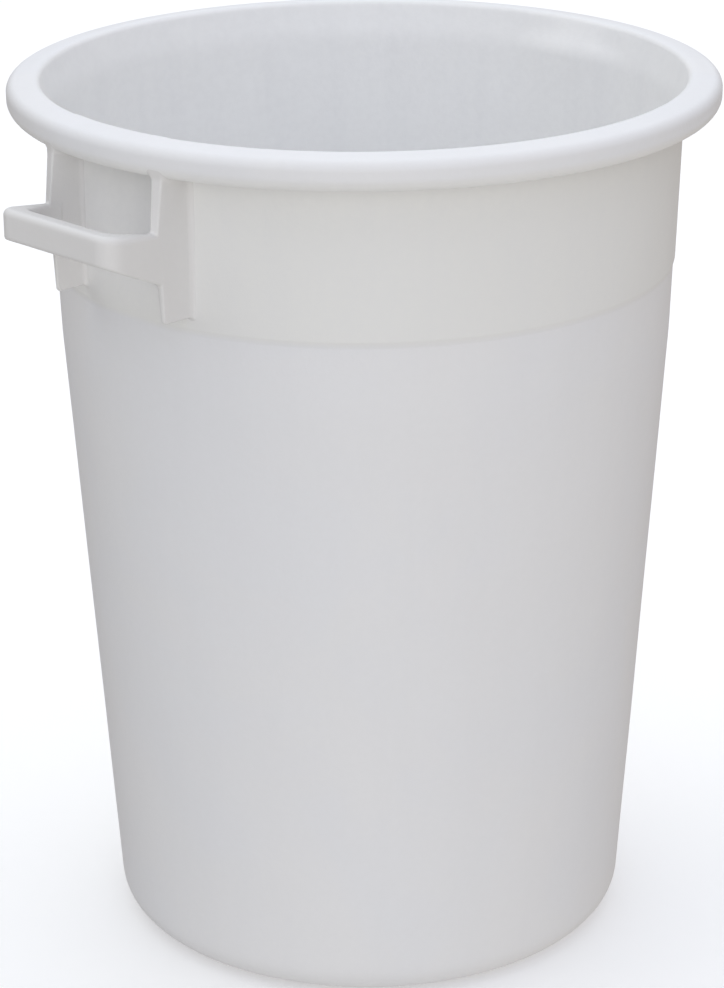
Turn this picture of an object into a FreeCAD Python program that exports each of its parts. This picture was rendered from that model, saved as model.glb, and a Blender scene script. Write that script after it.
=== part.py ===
import FreeCAD, Part
import math
import os

import Sketcher

# An open-topped plastic drum: a tapered shell with a stacking step, a collar and a hooked rim,
# and two D-shaped carry handles, each welded by its fins to a flat panel in the collar.
# Millimetres. +Z is up, the origin is the middle of the underside, and the handles lie along X.

doc = FreeCAD.newDocument("open_drum")

# ------------------------------------------------------------------ driving dimensions
DRIVING = [
    ("height", 684.5),             # base plane to the rim's crown
    ("rim_radius", 270.0),         # outside of the rim
    ("rim_height", 25.0),          # depth of the rim's hook
    ("rim_skin", 4.0),             # thickness of the hook
    ("lip_inner_radius", 253.5),   # inside of the hook's lower lip
    ("crown_radius", 252.0),       # highest circle of the rim
    ("rim_fall", 3.0),             # how far the rim's top falls from there to its side
    ("rim_top_round", 8.0),        # rounding, rim top to rim side
    ("rim_low_round", 11.0),       # rounding where the rim's side curls in underneath
    ("mouth_radius", 245.0),       # inside of the rim, level with its crown
    ("mouth_round", 5.0),          # rounding, rim top to the inside
    ("mouth_run_out", 2.0),        # how far beyond the mouth the flat panels' tops aim
    ("wall", 4.0),                 # side wall
    ("collar_top_radius", 242.0),  # outside of the collar just under the rim
    ("collar_low_radius", 238.2),  # outside of the collar at the step
    ("step_depth", 141.5),         # crown to the step
    ("step_ledge", 1.4),           # how far the collar stands proud of the body
    ("knee_depth", 196.5),         # crown to where the body's full taper begins
    ("knee_radius", 235.0),        # outside of the body there
    ("foot_radius", 202.3),        # outside of the body, run down to the base plane
    ("foot_round", 26.0),          # rounding, body to base
    ("floor_thick", 5.0),          # base thickness
    ("push_up", 3.0),              # how far the middle of the base is raised
    ("push_up_radius", 152.0),     # edge of the raised middle
    ("push_up_ramp", 6.0),         # width of the slope round it
    ("panel_top", 235.8),          # drum axis to a flat panel, just under the rim
    ("panel_low", 237.4),          # drum axis to a flat panel, at the step
    ("panel_span", 176.0),         # width of the cut that makes a panel
    ("fin_root", 228.0),           # drum axis to where the gap between the fins begins
    ("fin_sector_angle", 60.0),    # sector that the fins are cut from
    ("web", 10.0),                 # overlap that is trimmed or buried where features meet
    ("fin_face", 262.0),           # drum axis to where the arms leave the fins
    ("fin_low", 553.3),            # height of the fins' lower ends
    ("fin_top", 668.0),            # height to which the fins reach, up against the rim's curl
    ("fin_gap_top", 105.4),        # clear width between the fins, under the rim
    ("fin_gap_low", 112.8),        # clear width between the fins, at their lower ends
    ("fin_width_top", 124.6),      # width over the fins, under the rim
    ("fin_width_low", 119.6),      # width over the fins, at their lower ends
    ("fin_reach_top", 266.0),      # drum axis to the fins' outer edges, at the rim
    ("fin_reach_arm", 271.0),      # the same, at the arms' upper edge
    ("fin_reach_under", 267.0),    # the same, at the arms' lower edge
    ("fin_reach_low", 265.4),      # the same, at the fins' lower ends
    ("handle_width", 123.0),       # over the arms
    ("bar_reach", 310.0),          # drum axis to the bar's outer face
    ("bar_thick", 16.5),           # the grip bar, measured outwards
    ("bar_gap", 91.0),             # clear width between the arms, at the bar
    ("outer_corner", 15.0),        # plan radius outside, arm to bar
    ("inner_corner", 6.5),         # plan radius inside, arm to bar
    ("arm_top", 620.6),            # height of the arms' upper edge, at the fins
    ("bar_top", 627.4),            # height of the bar's upper edge, outside
    ("arm_low", 583.6),            # height of the arms' lower edge, at the fins
    ("bar_low", 605.0),            # height of the bar's lower edge
    ("grip_round", 3.0),           # rounding along the grip's upper edges
    ("grip_low_round", 2.0),       # rounding along the grip's lower edges
]
dims = doc.addObject("Spreadsheet::Sheet", "Dims")
for row, (alias, value) in enumerate(DRIVING, start=1):
    dims.set(f"A{row}", alias)
    dims.set(f"B{row}", str(value))
    dims.setAlias(f"B{row}", alias)
doc.recompute()
ALIASES = sorted((alias for alias, _ in DRIVING), key=len, reverse=True)


def bound(expression):
    """The expression with each dimension's name pointing at the sheet."""
    words = expression.replace("(", " ( ").replace(")", " ) ").split()
    return " ".join(f"Dims.{word}" if word in ALIASES else word for word in words)


def value_of(expression):
    """What an expression in the sheet's names comes to now."""
    return float(dims.evalExpression(bound(expression)))


# ------------------------------------------------------------------ building blocks
def origin_plane(body, role):
    return next(item for item in body.Origin.OriginFeatures if item.Role == role)


def outline(body, name, role, points):
    """A closed polygon on one of the body's own planes; every corner is bound to the sheet."""
    sketch = body.newObject("Sketcher::SketchObject", name)
    sketch.AttachmentSupport = [(origin_plane(body, role), "")]
    sketch.MapMode = "FlatFace"
    corners = [FreeCAD.Vector(value_of(across), value_of(up), 0) for across, up in points]
    count = len(corners)
    for index, corner in enumerate(corners):
        sketch.addGeometry(Part.LineSegment(corner, corners[(index + 1) % count]))
    for index in range(count):
        sketch.addConstraint(Sketcher.Constraint("Coincident", index, 2, (index + 1) % count, 1))
    for index, (across, up) in enumerate(points):
        for kind, expression in (("DistanceX", across), ("DistanceY", up)):
            constraint = Sketcher.Constraint(kind, -1, 1, index, 1, value_of(expression))
            number = sketch.addConstraint(constraint)
            sketch.setExpression(f"Constraints[{number}]", bound(expression))
    doc.recompute()
    return sketch


def spun(body, name, points):
    """A solid of revolution about Z from an outline of (radius, height) corners."""
    profile = outline(body, name + "_profile", "XZ_Plane", points)
    feature = body.newObject("PartDesign::Revolution", name)
    feature.Profile = profile
    feature.ReferenceAxis = (profile, ["V_Axis"])
    feature.Angle = 360
    doc.recompute()
    return feature


def both_ways(feature, width):
    """Make a pad or a pocket reach width, half to each side of its sketch."""
    feature.SideType = "Symmetric"
    feature.Type = "Length"
    feature.setExpression("Length", bound(width))
    doc.recompute()


def removes(body, before):
    """Stop if the last cut took nothing away."""
    if body.Shape.Volume >= before - 1.0:
        raise RuntimeError(f"{body.Name}: {body.Tip.Name} cut nothing")


def rounded(body, name, radius, wanted):
    """Round the edges of the body's last feature that wanted(edge) picks."""
    base = body.Tip
    names = [f"Edge{number}" for number, edge in enumerate(base.Shape.Edges, start=1) if wanted(edge)]
    if not names:
        raise RuntimeError(f"{name}: no edge to round")
    fillet = body.newObject("PartDesign::Fillet", name)
    fillet.Base = (base, names)
    fillet.setExpression("Radius", bound(radius))
    doc.recompute()
    return fillet


def ring_at(radius, height):
    """Picks the full circle of this radius at this height."""
    want_radius, want_height = value_of(radius), value_of(height)

    def wanted(edge):
        box = edge.BoundBox
        return (abs(box.ZMin - want_height) < 0.01 and abs(box.ZMax - want_height) < 0.01
                and abs(box.XMax - want_radius) < 0.01)
    return wanted


def new_body(name):
    return doc.addObject("PartDesign::Body", name)


# ------------------------------------------------------------------ drum shell
STEP_HEIGHT = "height - step_depth"
RIM_UNDER = "height - rim_height"


def panel_cuts(body, name, inset, above):
    """Cut the body back to two flat panels, one on each handle's side, up to the corners above."""
    before = body.Shape.Volume
    sketch = outline(body, name + "_outline", "XZ_Plane", [
        (f"panel_low - {inset}", STEP_HEIGHT), ("rim_radius", STEP_HEIGHT), *above,
        (f"panel_top - {inset}", RIM_UNDER)])
    cut = body.newObject("PartDesign::Pocket", name)
    cut.Profile = sketch
    both_ways(cut, "panel_span")
    removes(body, before)
    pair = body.newObject("PartDesign::PolarPattern", name + "_pair")
    pair.Originals = [cut]
    pair.Axis = (sketch, ["V_Axis"])
    pair.Angle = 360
    pair.Occurrences = 2
    body.Tip = pair
    doc.recompute()


def outer_envelope():
    """The whole outside of the shell as one solid, with the rim not yet hollowed."""
    body = new_body("shell_outside")
    spun(body, "outside", [
        ("0", "push_up"), ("push_up_radius", "push_up"), ("push_up_radius + push_up_ramp", "0"),
        ("foot_radius", "0"), ("knee_radius", "height - knee_depth"),
        ("collar_low_radius - step_ledge", STEP_HEIGHT), ("collar_low_radius", STEP_HEIGHT),
        ("collar_top_radius", RIM_UNDER), ("rim_radius", RIM_UNDER),
        ("rim_radius", "height - rim_fall"), ("crown_radius", "height"), ("0", "height")])
    rounded(body, "foot_rounding", "foot_round", ring_at("foot_radius", "0"))
    rounded(body, "rim_top_rounding", "rim_top_round", ring_at("rim_radius", "height - rim_fall"))
    rounded(body, "rim_low_rounding", "rim_low_round", ring_at("rim_radius", RIM_UNDER))
    panel_cuts(body, "panel", "0", [("rim_radius", RIM_UNDER)])
    return body


def inner_space():
    """What the drum holds: the outside moved in by the wall, open at the top."""
    body = new_body("shell_inside")
    spun(body, "inside", [
        ("0", "push_up + floor_thick"), ("push_up_radius", "push_up + floor_thick"),
        ("push_up_radius + push_up_ramp", "floor_thick"), ("foot_radius - wall", "floor_thick"),
        ("knee_radius - wall", "height - knee_depth"),
        ("collar_low_radius - step_ledge - wall", STEP_HEIGHT),
        ("collar_low_radius - wall", STEP_HEIGHT),
        ("collar_top_radius - wall", RIM_UNDER), ("mouth_radius", "height"),
        ("mouth_radius", "height + wall"), ("0", "height + wall")])
    rounded(body, "inside_foot_rounding", "foot_round - wall",
            ring_at("foot_radius - wall", "floor_thick"))
    panel_cuts(body, "inside_panel", "wall",
               [("rim_radius", "height"), ("mouth_radius + mouth_run_out", "height")])
    return body


def hook_space():
    """The channel under the rim, open downwards, that leaves the hook as a skin."""
    body = new_body("hook_inside")
    below = f"{RIM_UNDER} - rim_skin"
    lip_top = f"{RIM_UNDER} + rim_skin"
    skin_top = "height - rim_fall - rim_skin"
    spun(body, "channel", [
        ("collar_top_radius", below), ("lip_inner_radius", below), ("lip_inner_radius", lip_top),
        ("rim_radius - rim_skin", lip_top), ("rim_radius - rim_skin", skin_top),
        ("crown_radius", "height - rim_skin"), ("mouth_radius + wall", "height - rim_skin"),
        ("collar_top_radius", RIM_UNDER)])
    rounded(body, "channel_top_rounding", "rim_top_round - rim_skin",
            ring_at("rim_radius - rim_skin", skin_top))
    rounded(body, "channel_low_rounding", "rim_low_round - rim_skin",
            ring_at("rim_radius - rim_skin", lip_top))
    return body


def cut_from(name, base, tool):
    result = doc.addObject("Part::Cut", name)
    result.Base = base
    result.Tool = tool
    doc.recompute()
    return result


def drum_shell(outside):
    hollow = cut_from("shell_hollowed", outside, inner_space())
    skinned = cut_from("shell_skinned", hollow, hook_space())
    top = value_of("height")
    mouth = value_of("mouth_radius")
    names = []
    for number, edge in enumerate(skinned.Shape.Edges, start=1):
        box = edge.BoundBox
        middle = edge.valueAt((edge.FirstParameter + edge.LastParameter) / 2)
        if box.ZMin > top - 0.01 and math.hypot(middle.x, middle.y) < mouth + 0.01:
            names.append(number)
    shell = doc.addObject("Part::Fillet", "drum_shell_solid")
    shell.Base = skinned
    radius = value_of("mouth_round")
    shell.Edges = [(number, radius, radius) for number in names]
    doc.recompute()
    return shell


# ------------------------------------------------------------------ carry handles
TOP_SLOPE = "( bar_top - arm_top ) / ( bar_reach - fin_face )"
LOW_SLOPE = "( bar_low - arm_low ) / ( bar_reach - fin_face )"
HALF_OUT = "handle_width / 2"
ARM_GAP = ("( fin_gap_low + ( fin_gap_top - fin_gap_low ) * ( arm_top - fin_low )"
           " / ( fin_top - fin_low ) )")


def fin_pair(body):
    """Two upright fins cut from a sector round the drum, still joined inside the wall."""
    profile = outline(body, "fin_profile", "XZ_Plane", [
        ("fin_root - web", "fin_low"), ("fin_reach_low", "fin_low"),
        ("fin_reach_under", "arm_low"), ("fin_reach_arm", "arm_top"),
        ("fin_reach_top", "fin_top"), ("fin_root - web", "fin_top")])
    sector = body.newObject("PartDesign::Revolution", "fin_sector")
    sector.Profile = profile
    sector.ReferenceAxis = (profile, ["V_Axis"])
    sector.Midplane = True
    sector.setExpression("Angle", bound("fin_sector_angle"))
    doc.recompute()

    for side, sign in (("near", "-1"), ("far", "1")):
        before = body.Shape.Volume
        sketch = outline(body, f"beyond_{side}_fin_outline", "YZ_Plane", [
            (f"{sign} * fin_width_low / 2", "fin_low"), (f"{sign} * rim_radius", "fin_low"),
            (f"{sign} * rim_radius", "fin_top"), (f"{sign} * fin_width_top / 2", "fin_top")])
        cut = body.newObject("PartDesign::Pocket", f"beyond_{side}_fin")
        cut.Profile = sketch
        both_ways(cut, "2 * bar_reach")
        removes(body, before)

    before = body.Shape.Volume
    sketch = outline(body, "between_fins_outline", "YZ_Plane", [
        ("-1 * fin_gap_low / 2", "fin_low"), ("fin_gap_low / 2", "fin_low"),
        ("fin_gap_top / 2", "fin_top"), ("-1 * fin_gap_top / 2", "fin_top")])
    sketch.AttachmentOffset = FreeCAD.Placement(
        FreeCAD.Vector(0, 0, value_of("fin_root")), FreeCAD.Rotation())
    sketch.setExpression("AttachmentOffset.Base.z", bound("fin_root"))
    gap = body.newObject("PartDesign::Pocket", "between_fins")
    gap.Profile = sketch
    gap.Reversed = True
    gap.Type = "Length"
    gap.setExpression("Length", bound("rim_radius"))
    doc.recompute()
    removes(body, before)


def grip(body):
    """The two arms and the bar, one bent strap that rises and gets shallower outwards."""
    root = "fin_face - web"
    sketch = outline(body, "grip_profile", "XZ_Plane", [
        (root, f"arm_low - web * {LOW_SLOPE}"), ("bar_reach", "bar_low"),
        ("bar_reach", "bar_top"), (root, f"arm_top - web * {TOP_SLOPE}")])
    strap = body.newObject("PartDesign::Pad", "grip")
    strap.Profile = sketch
    both_ways(strap, "handle_width")

    before = body.Shape.Volume
    sketch = outline(body, "finger_space_outline", "XY_Plane", [
        ("fin_root", f"-1 * {ARM_GAP} / 2"), ("fin_face", f"-1 * {ARM_GAP} / 2"),
        ("bar_reach - bar_thick", "-1 * bar_gap / 2"), ("bar_reach - bar_thick", "bar_gap / 2"),
        ("fin_face", f"{ARM_GAP} / 2"), ("fin_root", f"{ARM_GAP} / 2")])
    space = body.newObject("PartDesign::Pocket", "finger_space")
    space.Profile = sketch
    both_ways(space, "2 * height")
    removes(body, before)


def upright_at(across, along):
    """Picks the upright edge at this distance from the axis, on both sides of the handle."""
    want_x, want_y = value_of(across), value_of(along)

    def wanted(edge):
        box = edge.BoundBox
        return (box.XLength < 0.01 and box.YLength < 0.01 and abs(box.XMax - want_x) < 0.01
                and abs(abs(box.YMax) - want_y) < 0.01)
    return wanted


def along_grip(lowest, highest):
    """Picks the edges that run along the bar and the arms between these heights."""
    root, bottom, top = value_of("fin_face - web"), value_of(lowest), value_of(highest)

    def wanted(edge):
        box = edge.BoundBox
        return box.XMax > root + 1 and box.ZMin > bottom and box.ZMax < top
    return wanted


def handle(label, turn, outside):
    """One carry handle, cut to the outside of the shell that it is welded to."""
    turned = FreeCAD.Placement(FreeCAD.Vector(), FreeCAD.Rotation(FreeCAD.Vector(0, 0, 1), turn))
    fins = new_body(label + "_fins")
    fins.Placement = turned
    fin_pair(fins)

    strap = new_body(label + "_grip")
    strap.Placement = turned
    grip(strap)
    rounded(strap, "outer_corners", "outer_corner", upright_at("bar_reach", HALF_OUT))
    rounded(strap, "inner_corners", "inner_corner", upright_at("bar_reach - bar_thick", "bar_gap / 2"))
    rounded(strap, "grip_top_rounding", "grip_round", along_grip("arm_top - web", "bar_top + 1"))
    rounded(strap, "grip_low_rounding", "grip_low_round", along_grip("arm_low - web", "bar_low + 1"))

    moulding = doc.addObject("Part::Fuse", label + "_moulding")
    moulding.Base = fins
    moulding.Tool = strap
    doc.recompute()
    return cut_from(label + "_solid", moulding, outside)


# ------------------------------------------------------------------ assembly
shell_outside = outer_envelope()
parts = {"drum_shell": drum_shell(shell_outside)}
for label, turn in (("right_handle", 0), ("left_handle", 180)):
    parts[label] = handle(label, turn, shell_outside)

for label, item in parts.items():
    item.Label = label
    item.Placement = FreeCAD.Placement()
doc.recompute()

for item in doc.Objects:
    if "Invalid" in item.State or "Error" in item.State:
        raise RuntimeError(f"{item.Name} failed: {item.State}")
for label, item in parts.items():
    shape = item.Shape
    if shape.isNull() or not shape.isValid() or len(shape.Solids) != 1:
        raise RuntimeError(f"{label} is not one valid solid")

os.makedirs("parts", exist_ok=True)
for label, item in parts.items():
    item.Shape.exportStep(f"parts/{label}.step")
    box = item.Shape.BoundBox
    print(f"{label}: {item.Shape.Volume / 1000:.1f} cm3, x {box.XMin:.1f} to {box.XMax:.1f},"
          f" y {box.YMin:.1f} to {box.YMax:.1f}, z {box.ZMin:.1f} to {box.ZMax:.1f}")
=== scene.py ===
"""An open-topped plastic drum with two carry handles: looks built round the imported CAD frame."""

import math

import bpy
import numpy as np
from mathutils import Matrix, Vector


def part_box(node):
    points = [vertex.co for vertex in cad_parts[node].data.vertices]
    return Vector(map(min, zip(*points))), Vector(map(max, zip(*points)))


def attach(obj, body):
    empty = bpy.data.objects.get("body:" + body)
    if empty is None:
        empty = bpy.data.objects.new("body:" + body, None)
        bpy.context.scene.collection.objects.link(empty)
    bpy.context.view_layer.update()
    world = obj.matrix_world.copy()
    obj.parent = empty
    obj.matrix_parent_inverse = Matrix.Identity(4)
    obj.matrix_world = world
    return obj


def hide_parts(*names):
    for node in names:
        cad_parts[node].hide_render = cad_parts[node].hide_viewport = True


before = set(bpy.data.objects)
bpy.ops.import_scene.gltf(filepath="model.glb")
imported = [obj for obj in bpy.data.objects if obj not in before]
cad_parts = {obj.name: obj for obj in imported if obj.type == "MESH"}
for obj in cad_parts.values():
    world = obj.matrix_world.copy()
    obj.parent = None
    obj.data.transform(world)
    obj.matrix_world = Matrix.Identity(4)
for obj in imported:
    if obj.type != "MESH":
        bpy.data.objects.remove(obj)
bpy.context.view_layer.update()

# ------------------------------------------------------------------ sizes (mm, row frame)
MM = 0.001
shell_low, shell_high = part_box("drum_shell")
grip_low, grip_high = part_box("right_handle")
HEIGHT = shell_high.z / MM             # base plane to the rim's crown
RIM = shell_high.x / MM                # outside of the rim
REACH = grip_high.x / MM               # outside of the grip bar
FIN_LOW = grip_low.z / MM              # lower ends of the fins

WALL = 4.0
RIM_UNDER = HEIGHT - 25.0
STEP = HEIGHT - 141.5                  # the small ledge between collar and body
KNEE = HEIGHT - 196.5                  # where the body starts to taper more
CROWN, MOUTH, RIM_FALL = RIM - 18.0, RIM - 25.0, 3.0
LIP = RIM - 16.5                       # inside of the rim's free edge
COLLAR_TOP, COLLAR_LOW = RIM - 28.0, RIM - 31.8
LEDGE, LEDGE_LOW, LEDGE_HIGH = 1.4, STEP - 4.0, STEP + 1.0
KNEE_RADIUS, FOOT_RADIUS = RIM - 35.0, RIM - 67.7
RING_IN, RING_OUT = 152.0, 158.0       # the bottom is raised a little inside this ring
BOTTOM_RISE, BOTTOM_WALL = 3.0, 5.0
AXIS_GAP = 2.0                         # the rows of the drum's grid stop here, at a cap

FOOT_ROUND, FOOT_ROUND_IN = 26.0, 22.0
KNEE_ROUND, LEDGE_ROUND, FLARE_ROUND = 500.0, 6.0, 60.0
RIM_LOW_ROUND, RIM_TOP_ROUND, CROWN_ROUND, MOUTH_ROUND = 11.0, 8.0, 36.0, 5.0

PANEL_TOP, PANEL_LOW = RIM - 34.2, RIM - 32.6
PANEL_SOFT = 3.0                       # softness of the crease round a flat panel
PANEL_BLEND = 6.0                      # how softly a panel starts to run out under the mouth
MOUTH_RUN_OUT = MOUTH + 2              # a panel has run out where it gets to this radius

# ------------------------------------------------------------------ camera
AZIMUTH, PITCH, ROLL = math.radians(45.4), 0.36305, 0.0076
CAMERA_BACK, CAMERA_SIDE, CAMERA_UP = 8.7000 * RIM * MM, -0.0147 * RIM * MM, 2.0358 * RIM * MM
FOCAL_PX, LONG_SIDE_PX, SENSOR = 3162.27, 988, 36.0


def add_camera():
    """The photograph's viewpoint: to the right of one handle, looking down a little."""
    sin_a, cos_a = math.sin(AZIMUTH), math.cos(AZIMUTH)
    side = Vector((sin_a, -cos_a, 0))
    ahead = Vector((cos_a * math.cos(PITCH), sin_a * math.cos(PITCH), -math.sin(PITCH)))
    up = side.cross(ahead)
    up = up * math.cos(ROLL) + side * math.sin(ROLL)
    side = ahead.cross(up)
    turn = Matrix((side, up, -ahead)).transposed().to_4x4()
    place = Vector((sin_a * CAMERA_SIDE - cos_a * CAMERA_BACK,
                    -cos_a * CAMERA_SIDE - sin_a * CAMERA_BACK,
                    (HEIGHT - RIM_FALL / 2) * MM + CAMERA_UP))
    data = bpy.data.cameras.new("camera")
    data.sensor_width = SENSOR
    data.lens = FOCAL_PX / LONG_SIDE_PX * SENSOR
    data.clip_start, data.clip_end = 0.05, 60
    camera = bpy.data.objects.new("camera", data)
    camera.matrix_world = Matrix.Translation(place) @ turn
    bpy.context.scene.collection.objects.link(camera)
    bpy.context.scene.camera = camera


add_camera()


# ------------------------------------------------------------------ the drum's walls, as radii
def soft_min(a, b, soft):
    """The smaller of the two, with the crease between them rounded."""
    h = np.maximum(soft - np.abs(a - b), 0) / soft
    return np.minimum(a, b) - h * h * soft * 0.25


def smooth(share):
    """0 to 1 with soft ends."""
    share = np.clip(share, 0, 1)
    return share * share * (3 - 2 * share)


def panel_plane(z):
    """How far a flat panel stands from the drum's axis at this height."""
    return PANEL_LOW + (PANEL_TOP - PANEL_LOW) * (z - STEP) / (RIM_UNDER - STEP)


def panel_shift(angle, z, radius, inset):
    """How much the flat panels draw in a wall of this radius at this angle round the axis."""
    across = np.abs(np.cos(angle))
    rise = z - RIM_UNDER
    above = np.where(rise > PANEL_BLEND, rise,
                     np.maximum(rise + PANEL_BLEND, 0) ** 2 / (4 * PANEL_BLEND))
    run_out = (MOUTH_RUN_OUT - PANEL_TOP + WALL) / (HEIGHT - RIM_UNDER) * above
    flat = (panel_plane(np.minimum(z, RIM_UNDER)) - inset + run_out) / np.maximum(across, 0.5)
    return soft_min(radius, flat, PANEL_SOFT) - radius


def collar_radius(z):
    """Outside of the collar between its flat panels."""
    return COLLAR_LOW + (COLLAR_TOP - COLLAR_LOW) * (z - STEP) / (RIM_UNDER - STEP)


# ------------------------------------------------------------------ drum shell
COARSE_STEP, FINE_STEP = 7.0, 2.0      # longest gap between two rows of the drum's grid
RIPPLE, RIM_RIPPLE = 0.35, 0.12        # size of the moulded wall's slow waves
NOTCH, NOTCH_HALF, NOTCH_SOFT, NOTCH_RISE = 1.3, 54.0, 9.0, 22.0


def rounded_line(corners, step):
    """A polyline through (radius, height, rounding) corners, with arcs at the roundings."""
    points = [np.array(corners[0][:2], float)]
    for index in range(1, len(corners) - 1):
        here = np.array(corners[index][:2], float)
        rounding = corners[index][2]
        back = np.array(corners[index - 1][:2], float) - here
        on = np.array(corners[index + 1][:2], float) - here
        back, on = back / np.hypot(*back), on / np.hypot(*on)
        half = math.acos(max(-1.0, min(1.0, float(back @ on)))) / 2
        reach = rounding / math.tan(half)
        middle = (back + on) / np.hypot(*(back + on))
        centre = here + middle * rounding / math.sin(half)
        start, end = here + back * reach - centre, here + on * reach - centre
        first = math.atan2(start[1], start[0])
        turn = math.atan2(end[1], end[0]) - first
        turn = (turn + math.pi) % (2 * math.pi) - math.pi
        count = max(3, int(abs(turn) / math.radians(9)), int(abs(turn) * rounding / step))
        for share in np.linspace(0, 1, count + 1):
            angle = first + turn * share
            points.append(centre + rounding * np.array([math.cos(angle), math.sin(angle)]))
    points.append(np.array(corners[-1][:2], float))
    filled = [points[0]]
    for point in points[1:]:
        gap = point - filled[-1]
        length = float(np.hypot(*gap))
        if length < 0.02:
            continue
        parts = max(1, int(math.ceil(length / step)))
        begin = filled[-1]
        for part in range(1, parts + 1):
            filled.append(begin + gap * part / parts)
    return np.array(filled)


def shell_columns():
    """Angles round the axis, close together near the flat panels and their creases."""
    fine, coarse, spread = math.radians(0.36), math.radians(1.1), math.radians(22)
    angles = []
    for middle in (0.0, math.pi):
        angles += list(np.arange(middle - spread, middle + spread, fine))
        rest = np.linspace(middle + spread, middle + math.pi - spread,
                           int((math.pi - 2 * spread) / coarse), endpoint=False)
        angles += list(rest)
    return np.array(angles)


def ripple(angle, z, seed):
    """Slow, shallow waves of a moulded wall, between -1 and 1."""
    random = np.random.default_rng(seed)
    total = 0
    for _ in range(9):
        turns = random.integers(1, 7)
        rise = random.uniform(0.004, 0.022)
        phase, lean = random.uniform(0, 2 * math.pi, 2)
        total = total + np.sin(turns * angle + rise * z + phase) * np.cos(rise * 0.7 * z + lean)
    return total / 9


def drum_shell_profile():
    """Radius and height of every row: up the outside, round the rim, then down the inside."""
    outside = rounded_line([
        (AXIS_GAP, BOTTOM_RISE, 0), (RING_IN, BOTTOM_RISE, 8.0), (RING_OUT, 0.0, 5.0),
        (FOOT_RADIUS, 0.0, FOOT_ROUND), (KNEE_RADIUS, KNEE, KNEE_ROUND),
        (COLLAR_LOW - LEDGE, LEDGE_LOW, LEDGE_ROUND), (COLLAR_LOW, LEDGE_HIGH, LEDGE_ROUND),
        (COLLAR_TOP, RIM_UNDER, 30.0), (MOUTH + WALL, HEIGHT - WALL, 2.5)], COARSE_STEP)
    join = (collar_radius(RIM_UNDER - 40.0) - WALL, RIM_UNDER - 40.0, 0)
    rim = rounded_line([
        (MOUTH + WALL + 2.5, HEIGHT - WALL, 0), (RIM - WALL, HEIGHT - RIM_FALL - WALL, 4.0),
        (RIM - WALL, RIM_UNDER + WALL, 6.9), (LIP, RIM_UNDER + WALL, 1.5),
        (LIP, RIM_UNDER, 1.5), (RIM, RIM_UNDER, RIM_LOW_ROUND),
        (RIM, HEIGHT - RIM_FALL, RIM_TOP_ROUND), (CROWN, HEIGHT, CROWN_ROUND),
        (MOUTH, HEIGHT, MOUTH_ROUND), (COLLAR_TOP - WALL, RIM_UNDER - 2.0, FLARE_ROUND),
        join], FINE_STEP)
    inside = rounded_line([
        join, (COLLAR_LOW - WALL, LEDGE_HIGH, LEDGE_ROUND),
        (COLLAR_LOW - LEDGE - WALL, LEDGE_LOW, LEDGE_ROUND),
        (KNEE_RADIUS - WALL, KNEE, KNEE_ROUND), (FOOT_RADIUS - WALL, BOTTOM_WALL, FOOT_ROUND_IN),
        (RING_OUT, BOTTOM_WALL, 5.0), (RING_IN, BOTTOM_WALL + BOTTOM_RISE, 8.0),
        (AXIS_GAP, BOTTOM_WALL + BOTTOM_RISE, 0)], COARSE_STEP)
    return np.vstack([outside, rim, inside[1:]])


def grid_mesh(name, verts, rows, columns):
    """A mesh closed round the axis from rows x columns points, capped at both ends."""
    count = rows * columns
    here = np.arange(count).reshape(rows, columns)
    right = np.roll(here, -1, axis=1)
    quads = np.stack([here[:-1], right[:-1], right[1:], here[1:]], axis=-1).reshape(-1, 4)
    faces = quads.tolist()
    ends = []
    for row, flip in ((0, True), (rows - 1, False)):
        ends.append(verts[here[row]].mean(axis=0))
        centre = count + len(ends) - 1
        for a, b in zip(here[row], right[row]):
            faces.append([int(b), int(a), centre] if flip else [int(a), int(b), centre])
    mesh = bpy.data.meshes.new(name)
    mesh.from_pydata(np.vstack([verts, ends]).tolist(), [], faces)
    mesh.validate()
    return mesh


def build_shell():
    """The drum's skin as a grid of rows and columns, with the masks that its material uses."""
    profile = drum_shell_profile()
    angles = shell_columns()
    radius, z = profile[:, 0][:, None], profile[:, 1][:, None]
    turned = angles[None, :]
    outer = (np.arange(len(profile)) < int(np.argmax(profile[:, 1])))[:, None]

    above = np.clip((z - LEDGE_LOW) / (LEDGE_HIGH - LEDGE_LOW), 0, 1)
    out_weight = above * np.clip((MOUTH - radius) / 3.0, 0, 1)
    in_weight = above * np.clip((CROWN - radius) / 2.5, 0, 1)
    collar = collar_radius(np.clip(z, STEP, RIM_UNDER))
    out_shift = panel_shift(turned, z, collar, 0.0) * out_weight
    in_shift = panel_shift(turned, z, np.minimum(radius, MOUTH), WALL)
    between_fins = smooth((NOTCH_HALF - np.abs(radius * np.sin(turned))) / NOTCH_SOFT)
    near_mouth = smooth((z - RIM_UNDER) / NOTCH_RISE)
    in_shift = (in_shift - NOTCH * between_fins * near_mouth) * in_weight

    body = np.clip((z - 30) / 60, 0, 1) * np.clip((HEIGHT - 12 - z) / 30, 0, 1)
    loose = ripple(turned, z, 11) * RIPPLE * body
    rim_wave = ripple(turned, z, 5) * RIM_RIPPLE * (1 - body) * (z > STEP)
    full = radius + np.where(outer, out_shift, in_shift) + loose + rim_wave
    full = np.minimum(full, RIM - 0.1)

    x, y = full * np.cos(turned), full * np.sin(turned)
    z = np.broadcast_to(z, x.shape)
    verts = np.stack([x, y, z], axis=-1).reshape(-1, 3) * MM
    mesh = grid_mesh("drum_shell_skin", verts, len(profile), len(angles))
    for name, values in shell_masks(x, y, z, radius, outer).items():
        layer = mesh.attributes.new(name, "FLOAT", "POINT")
        padded = np.concatenate([values.ravel(), [values[0, 0], values[-1, 0]]])
        layer.data.foreach_set("value", padded.astype(np.float32))
    return mesh


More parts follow.
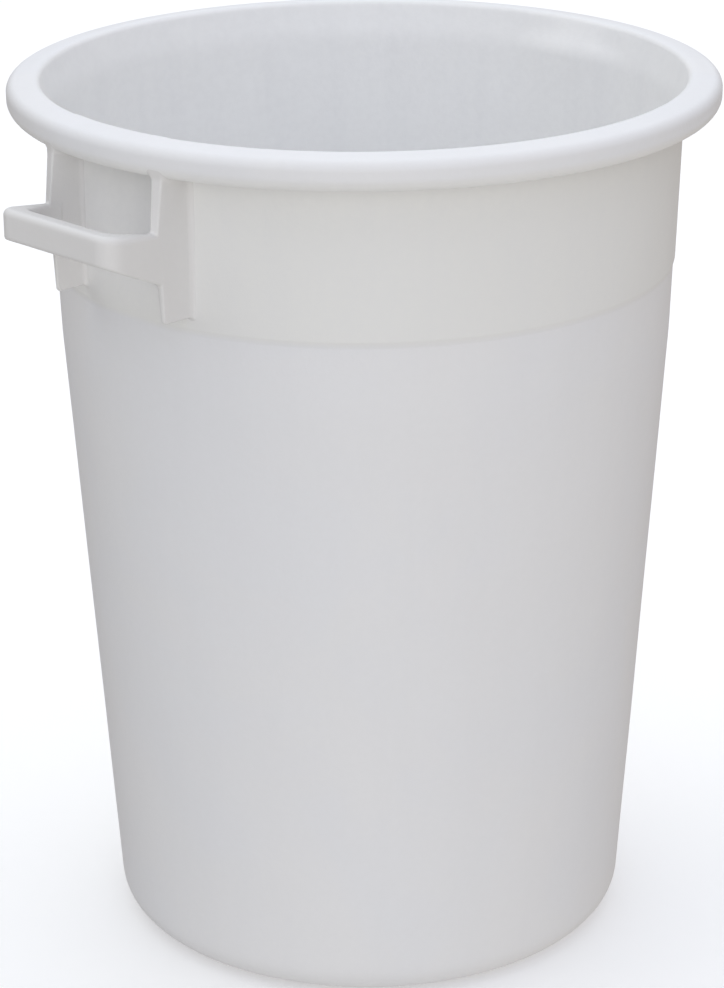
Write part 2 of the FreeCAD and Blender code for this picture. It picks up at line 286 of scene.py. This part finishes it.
def shell_masks(x, y, z, radius, outer):
    """How much each point is inside, where it is painted lighter, on the collar, or under the rim
    and between the fins, where a lighter colour is painted over the shade there as painted light
    for light let through the plastic.
    """
    # painted light: the inside is painted lighter than the outside, as light let through the wall,
    # and more so deeper down
    painted_light_deeper = 0.55 + 0.45 * np.clip((HEIGHT - z) / 120, 0, 1)
    inside = np.where(outer, 0, np.clip((MOUTH + 3 - radius) / 3, 0, 1)) * painted_light_deeper
    under = np.clip((RIM_UNDER + 10 - z) / 8, 0, 1)
    collar = np.where(outer, np.clip((z - LEDGE_LOW) / 5, 0, 1), 0) * under
    # painted light: the wall just under the rim and between the fins is painted lighter, to fill
    # the shade that falls there
    below_rim = np.clip((z - RIM_UNDER + 36) / 36, 0, 1) ** 1.5
    by_handle = (np.clip((58 - np.abs(y)) / 5, 0, 1) * np.clip((z - FIN_LOW + 12) / 24, 0, 1)
                 * (np.abs(x) > 100))
    painted_fill_light = np.where(inside > 0, 0, np.maximum(below_rim, by_handle) * under)
    return {"inside": inside, "collar": collar, "painted_fill_light": painted_fill_light}


# ------------------------------------------------------------------ carry handles
def both(a, b, rounding):
    """Distance to what is inside both, with the edge where they meet rounded."""
    p, q = a + rounding, b + rounding
    corner = np.hypot(np.maximum(p, 0), np.maximum(q, 0))
    return np.minimum(np.maximum(p, q), 0) + corner - rounding


def either(a, b, rounding):
    """Distance to what is inside either, with a fillet where they meet."""
    p, q = np.maximum(rounding - a, 0), np.maximum(rounding - b, 0)
    return np.maximum(rounding, np.minimum(a, b)) - np.hypot(p, q)


def drum_distance(u, t, z):
    """Distance to the outside of the drum's collar, body and rim."""
    radius = np.hypot(u, t)
    slope = (MOUTH + WALL - COLLAR_TOP) / (HEIGHT - WALL - RIM_UNDER)
    flare = slope * np.maximum(z - RIM_UNDER, 0)
    collar = collar_radius(np.clip(z, STEP, RIM_UNDER)) + flare
    collar = collar + panel_shift(np.arctan2(t, u), z, collar, 0.0)
    body = KNEE_RADIUS + (COLLAR_LOW - LEDGE - KNEE_RADIUS) * (z - KNEE) / (STEP - KNEE)
    share = np.clip((z - LEDGE_LOW) / (LEDGE_HIGH - LEDGE_LOW), 0, 1)
    wall = radius - (body + (collar - body) * share)
    rim = both(radius - RIM, RIM_UNDER - z, 11.0)
    return np.minimum(wall, np.maximum(rim, LIP - radius))


FIN_TOP = RIM_UNDER + 6.0
FIN_TALL = 114.7                       # from the lower ends of the fins to the rim
FIN_OUT, FIN_OUT_GAIN = 59.8, 2.5      # outer faces of the fins, and how they lean
FIN_IN, FIN_IN_GAIN = 56.4, -3.7
ARM_FACE = 262.0                       # where the arms leave the fins
ARM_TOP, ARM_LOW = FIN_LOW + 67.3, FIN_LOW + 30.3
BAR_INSIDE = REACH - 16.5
HALF_OUT = 61.5                        # half of the bar's length
HALF_GAP_FIN, HALF_GAP_BAR = 54.2, 45.5
TOP_RISE = 6.8 / 48.0
LOW_RISE = 21.4 / 48.0
FIN_REACH = ((FIN_LOW, 265.4), (ARM_LOW, 267.0), (ARM_TOP, 271.0), (FIN_LOW + FIN_TALL, 266.0))


def handle_distance(u, t, z):
    """Distance to one handle: two fins, two arms and the bar, joined by small fillets."""
    side = np.abs(t)
    up = (z - FIN_LOW) / FIN_TALL
    fin_out = FIN_OUT + FIN_OUT_GAIN * up
    fin_in = FIN_IN + FIN_IN_GAIN * up
    reach = np.interp(z, *zip(*FIN_REACH))
    edge = both(np.hypot(u, t) - reach, FIN_LOW - z, 3.0)
    edge = np.maximum(np.maximum(edge, z - FIN_TOP), 232.0 - u)
    fins = both(both(side - fin_out, fin_in - side, 0.01), edge, 1.5)

    half_gap = np.interp(u, [255.0, ARM_FACE, BAR_INSIDE],
                         [HALF_GAP_FIN, HALF_GAP_FIN, HALF_GAP_BAR])
    half_out = fin_out + (HALF_OUT - fin_out) * np.clip((u - ARM_FACE) / 30.0, 0, 1)
    outline = both(side - half_out, u - REACH + 0.05, 15.0)
    hole = both(side - half_gap, u - BAR_INSIDE, 6.5)
    top = (z - ARM_TOP - (u - ARM_FACE) * TOP_RISE) / math.hypot(1, TOP_RISE)
    low = (ARM_LOW + (u - ARM_FACE) * LOW_RISE - z) / math.hypot(1, LOW_RISE)
    outer_soft = np.interp(u, [ARM_FACE, ARM_FACE + 30.0], [3.0, 5.5])
    strap = np.maximum(both(outline, top, outer_soft), both(-hole, top, 3.0))
    strap = both(strap, low, 2.0)
    strap = np.maximum(strap, ARM_FACE - 6.0 - u)
    return either(fins, strap, np.clip(fin_out - side, 0.3, 3.0))


WELD_FILLET, WELD_REACH = 4.0, 6.0     # size of the weld's fillet, and how far it may run
WELD_SINK, WELD_DEPTH = 0.15, 1.6      # how far its edge, and the fins, lie under the wall


def handle_solid(points):
    """The handle with a weld fillet that runs out into the drum, for local points in mm."""
    u, t, z = points[..., 0], points[..., 1], points[..., 2]
    drum = drum_distance(u, t, z)
    alone = handle_distance(u, t, z)
    joined = either(alone, drum + WELD_SINK, WELD_FILLET)
    return np.maximum(np.maximum(joined, -(drum + WELD_DEPTH)), alone - WELD_REACH)


def surface_net(distance, low, high, cell):
    """Quads on the zero surface of a distance function, one vertex to each cell it crosses."""
    axes = [np.arange(a, b + cell, cell) for a, b in zip(low, high)]
    grid = np.stack(np.meshgrid(*axes, indexing="ij"), axis=-1)
    field = np.empty(grid.shape[:3])
    for layer in range(grid.shape[0]):
        field[layer] = distance(grid[layer])
    inside = field < 0
    shape = np.array(field.shape) - 1
    total = np.zeros((*shape, 3))
    crossings = np.zeros(shape)
    corners = [(a, b, c) for a in (0, 1) for b in (0, 1) for c in (0, 1)]

    def part(array, corner):
        return array[tuple(slice(k, k + n) for k, n in zip(corner, shape))]

    for first in corners:
        for axis in range(3):
            if first[axis]:
                continue
            second = tuple(c + (k == axis) for k, c in enumerate(first))
            fa, fb = part(field, first), part(field, second)
            cut = part(inside, first) != part(inside, second)
            share = np.where(cut, fa / np.where(cut, fa - fb, 1), 0)
            for k in range(3):
                total[..., k] += np.where(cut, first[k] + (share if k == axis else 0), 0)
            crossings += cut
    used = crossings > 0
    number = np.full(shape, -1)
    number[used] = np.arange(used.sum())
    cells = np.argwhere(used)
    verts = np.array(low) + (cells + total[used] / crossings[used][:, None]) * cell

    faces = []
    for axis in range(3):
        b, c = (axis + 1) % 3, (axis + 2) % 3
        start = tuple(slice(0, -1) if k == axis else slice(1, -1) for k in range(3))
        end = tuple(slice(1, None) if k == axis else slice(1, -1) for k in range(3))
        cut = inside[start] != inside[end]
        leaving = inside[start][cut]
        at = np.argwhere(cut)
        at[:, b] += 1
        at[:, c] += 1
        ring = []
        for db, dc in ((0, 0), (1, 0), (1, 1), (0, 1)):
            spot = at.copy()
            spot[:, b] -= db
            spot[:, c] -= dc
            ring.append(number[tuple(spot.T)])
        quads = np.stack(ring, axis=-1)
        quads = np.where(leaving[:, None], quads[:, ::-1], quads)
        faces.append(quads)
    faces = np.vstack(faces)
    return verts, faces[(faces >= 0).all(axis=1)]


def settle(distance, verts, faces, rounds):
    """Evens out the net and lays every vertex exactly on the surface."""
    pairs = np.vstack([faces[:, [a, (a + 1) % 4]] for a in range(4)])
    degree = np.bincount(pairs.ravel(), minlength=len(verts))[:, None]
    for step in range(rounds):
        if step < rounds - 1:
            around = np.zeros_like(verts)
            for k in range(3):
                around[:, k] = (np.bincount(pairs[:, 0], verts[pairs[:, 1], k], len(verts))
                                + np.bincount(pairs[:, 1], verts[pairs[:, 0], k], len(verts)))
            verts = verts + 0.5 * (around / degree - verts)
        for _ in range(2):
            value = distance(verts)
            slope = np.stack([(distance(verts + shift) - distance(verts - shift)) / 0.04
                              for shift in np.eye(3) * 0.02], axis=-1)
            size = np.maximum((slope ** 2).sum(axis=-1), 0.25)
            verts = verts - np.clip(value / size, -0.6, 0.6)[:, None] * slope
    return verts


HANDLE_CELL = 0.8


def build_handles():
    """One handle's surface, placed on the right and turned half round for the left."""
    low, high = (228.5, -66.0, FIN_LOW - 5.0), (REACH + 2.0, 66.0, RIM_UNDER + 9.0)
    verts, faces = surface_net(handle_solid, low, high, HANDLE_CELL)
    verts = settle(handle_solid, verts, faces, 4)
    verts[:, 0] = np.minimum(verts[:, 0], REACH)
    made = {}
    for label, turn in (("right_handle", 1), ("left_handle", -1)):
        mesh = bpy.data.meshes.new(label + "_moulding")
        placed = verts * np.array([turn, turn, 1]) * MM
        mesh.from_pydata(placed.tolist(), [], faces.tolist())
        mesh.validate()
        made[label] = mesh
    return made


# ------------------------------------------------------------------ materials
class Nodes:
    """Short names for the nodes a plastic is made from."""

    def __init__(self, material):
        material.use_nodes = True
        self.tree = material.node_tree
        self.shader = self.tree.nodes["Principled BSDF"]
        self.place = self.tree.nodes.new("ShaderNodeTexCoord").outputs["Object"]

    def link(self, source, socket):
        if isinstance(source, (int, float)):
            socket.default_value = source
        elif isinstance(source, tuple):
            socket.default_value = (*source, 1) if len(socket.default_value) == 4 else source
        else:
            self.tree.links.new(source, socket)

    def stretched(self, scale):
        node = self.tree.nodes.new("ShaderNodeVectorMath")
        node.operation = "MULTIPLY"
        self.link(self.place, node.inputs[0])
        node.inputs[1].default_value = scale
        return node.outputs[0]

    def noise(self, scale, detail=2.0, roughness=0.5, vector=None, distortion=0.0):
        node = self.tree.nodes.new("ShaderNodeTexNoise")
        self.link(self.place if vector is None else vector, node.inputs["Vector"])
        node.inputs["Scale"].default_value = scale
        node.inputs["Detail"].default_value = detail
        node.inputs["Roughness"].default_value = roughness
        node.inputs["Distortion"].default_value = distortion
        return node.outputs["Fac"]

    def cells(self, scale, vector=None):
        node = self.tree.nodes.new("ShaderNodeTexVoronoi")
        node.feature = "DISTANCE_TO_EDGE"
        self.link(self.place if vector is None else vector, node.inputs["Vector"])
        node.inputs["Scale"].default_value = scale
        return node.outputs["Distance"]

    def spread(self, value, low, high, out_low=0.0, out_high=1.0):
        node = self.tree.nodes.new("ShaderNodeMapRange")
        node.interpolation_type = "SMOOTHSTEP"
        self.link(value, node.inputs["Value"])
        for name, number in (("From Min", low), ("From Max", high),
                             ("To Min", out_low), ("To Max", out_high)):
            node.inputs[name].default_value = number
        return node.outputs["Result"]

    def maths(self, operation, a, b):
        node = self.tree.nodes.new("ShaderNodeMath")
        node.operation = operation
        self.link(a, node.inputs[0])
        self.link(b, node.inputs[1])
        return node.outputs[0]

    def mix(self, share, a, b):
        node = self.tree.nodes.new("ShaderNodeMix")
        node.data_type = "RGBA"
        self.link(share, node.inputs[0])
        self.link(a, node.inputs[6])
        self.link(b, node.inputs[7])
        return node.outputs[2]

    def mask(self, name):
        node = self.tree.nodes.new("ShaderNodeAttribute")
        node.attribute_name = name
        return node.outputs["Fac"]

    def bump(self, height, depth, below=None):
        node = self.tree.nodes.new("ShaderNodeBump")
        node.inputs["Strength"].default_value = 1.0
        node.inputs["Distance"].default_value = depth
        self.link(height, node.inputs["Height"])
        if below is not None:
            self.link(below, node.inputs["Normal"])
        return node.outputs["Normal"]


def plastic(name, colour, cooler, inside=None, collar=None, painted_fill_light=None):
    """Natural polyethylene: cloudy, waxy, finely pitted by its mould and lightly scuffed."""
    material = bpy.data.materials.new(name)
    nodes = Nodes(material)
    shader = nodes.shader

    cloud = nodes.spread(nodes.noise(7.0, 3.0, 0.55, distortion=0.6), 0.35, 0.65)
    body = nodes.mix(cloud, colour, cooler)
    if collar is not None:
        body = nodes.mix(nodes.mask("collar"), body, collar)
        # painted light: a lighter colour painted over the shade under the rim and between the fins
        body = nodes.mix(nodes.mask("painted_fill_light"), body, painted_fill_light)
    if inside is not None:
        # painted light: the inside is painted lighter, as light let through the wall
        body = nodes.mix(nodes.mask("inside"), body, inside)
    speck = nodes.spread(nodes.noise(160.0, 3.0, 0.6), 0.36, 0.64)
    body = nodes.mix(nodes.maths("MULTIPLY", speck, 0.10), body, tuple(c * 0.93 for c in colour))
    flow = nodes.spread(nodes.noise(1.0, 3.0, 0.6, nodes.stretched((42.0, 42.0, 3.0))), 0.40, 0.70)
    body = nodes.mix(nodes.maths("MULTIPLY", flow, 0.10), body, tuple(c * 0.94 for c in cooler))

    lines = nodes.stretched((60.0, 60.0, 9.0))
    scratch = nodes.spread(nodes.cells(1.0, lines), 0.0, 0.008, 1.0, 0.0)
    sparse = nodes.spread(nodes.noise(9.0, 2.0), 0.56, 0.70)
    scuff = nodes.maths("MULTIPLY", scratch, sparse)
    body = nodes.mix(nodes.maths("MULTIPLY", scuff, 0.08), body, tuple(c * 0.86 for c in colour))
    nodes.link(body, shader.inputs["Base Color"])

    sheen = nodes.spread(nodes.noise(24.0, 4.0, 0.6), 0.30, 0.70, 0.40, 0.52)
    rough = nodes.maths("ADD", sheen, nodes.maths("MULTIPLY", scuff, 0.14))
    nodes.link(rough, shader.inputs["Roughness"])

    waves = nodes.bump(nodes.noise(11.0, 1.0), 0.0012)
    peel = nodes.bump(nodes.noise(330.0, 2.0, 0.5), 0.00011, waves)
    pits = nodes.bump(nodes.noise(1300.0, 2.0, 0.6), 0.00003, peel)
    marks = nodes.bump(scuff, -0.00002, pits)
    nodes.link(marks, shader.inputs["Normal"])

    shader.inputs["IOR"].default_value = 1.5
    shader.inputs["Specular IOR Level"].default_value = 0.30
    return material


# painted light: the inside colour is painted lighter than the outside, as light let through the
# wall
shell_plastic = plastic("natural_polyethylene", (0.83, 0.83, 0.845), (0.82, 0.825, 0.85),
                        # painted light: the last colour is painted over the shade under the rim
                        # and between the fins
                        (0.97, 0.972, 0.97), (0.825, 0.825, 0.815), (0.90, 0.90, 0.895))
# painted shade: the grip is a darker copy of the drum's plastic, standing in for the shade on the
# handles
painted_shade_grip_plastic = plastic("natural_polyethylene_grip", (0.77, 0.76, 0.755), (0.765, 0.76, 0.76))


# ------------------------------------------------------------------ pieces on the frame
def show(name, mesh, material, node):
    """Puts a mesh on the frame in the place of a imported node."""
    piece = bpy.data.objects.new(name, mesh)
    bpy.context.scene.collection.objects.link(piece)
    mesh.materials.append(material)
    mesh.shade_smooth()
    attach(piece, "root")
    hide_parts(node)
    return piece


show("drum_shell_moulding", build_shell(), shell_plastic, "drum_shell")
for node, mesh in build_handles().items():
    show(node + "_moulding", mesh, painted_shade_grip_plastic, node)


# ------------------------------------------------------------------ stage and light
def add_floor():
    """A plain white floor, which lights nothing itself."""
    size = 14.0
    mesh = bpy.data.meshes.new("floor")
    mesh.from_pydata([(-size, -size, 0), (size, -size, 0), (size, size, 0), (-size, size, 0)],
                     [], [(0, 1, 2, 3)])
    floor = bpy.data.objects.new("floor", mesh)
    bpy.context.scene.collection.objects.link(floor)
    material = bpy.data.materials.new("floor_white")
    material.use_nodes = True
    shader = material.node_tree.nodes["Principled BSDF"]
    shader.inputs["Base Color"].default_value = (0.93, 0.93, 0.93, 1)
    shader.inputs["Roughness"].default_value = 0.9
    shader.inputs["Emission Color"].default_value = (1.0, 1.0, 1.0, 1)
    shader.inputs["Emission Strength"].default_value = 0.12
    mesh.materials.append(material)
    floor.visible_diffuse = floor.visible_glossy = False
    floor.visible_transmission = floor.visible_shadow = False


FRONT = Vector((-math.cos(AZIMUTH), -math.sin(AZIMUTH), 0))
RIGHT = Vector((math.sin(AZIMUTH), -math.cos(AZIMUTH), 0))
UP = Vector((0, 0, 1))
SOFT_LIGHTS = (                        # direction, how narrow it is, colour
    (UP, 1, (0.58, 0.55, 0.46)),
    (-UP, 1, (0.58, 0.58, 0.60)),
    (-FRONT, 1, (0.26, 0.22, 0.19)),
    (RIGHT, 1, (0.16, 0.13, 0.09)),
    (FRONT, 8, (2.21, 2.18, 2.07)),
    (UP - FRONT, 6, (0.90, 1.04, 1.24)),
    (UP - RIGHT, 6, (1.02, 1.05, 1.10)),
    (UP + RIGHT, 6, (0.53, 0.60, 0.76)),
    (UP + FRONT, 6, (0.10, 0.17, 0.42)),
)


def add_light():
    """Large soft lights on every side, as broad lobes of the studio's surroundings."""
    world = bpy.data.worlds.new("studio")
    bpy.context.scene.world = world
    world.use_nodes = True
    tree = world.node_tree
    towards = tree.nodes.new("ShaderNodeTexCoord")
    total = None
    for direction, narrow, colour in SOFT_LIGHTS:
        facing = tree.nodes.new("ShaderNodeVectorMath")
        facing.operation = "DOT_PRODUCT"
        facing.inputs[1].default_value = direction.normalized()
        tree.links.new(towards.outputs["Generated"], facing.inputs[0])
        lobe = tree.nodes.new("ShaderNodeMath")
        lobe.operation = "MAXIMUM"
        lobe.inputs[1].default_value = 0.0
        tree.links.new(facing.outputs["Value"], lobe.inputs[0])
        power = tree.nodes.new("ShaderNodeMath")
        power.operation = "POWER"
        power.inputs[1].default_value = narrow
        tree.links.new(lobe.outputs[0], power.inputs[0])
        scaled = tree.nodes.new("ShaderNodeVectorMath")
        scaled.operation = "MULTIPLY"
        scaled.inputs[1].default_value = colour
        tree.links.new(power.outputs[0], scaled.inputs[0])
        if total is None:
            total = scaled
            continue
        added = tree.nodes.new("ShaderNodeVectorMath")
        added.operation = "ADD"
        tree.links.new(total.outputs[0], added.inputs[0])
        tree.links.new(scaled.outputs[0], added.inputs[1])
        total = added
    tree.links.new(total.outputs[0], tree.nodes["Background"].inputs["Color"])
    bpy.context.scene.view_settings.view_transform = "Standard"


add_floor()
add_light()
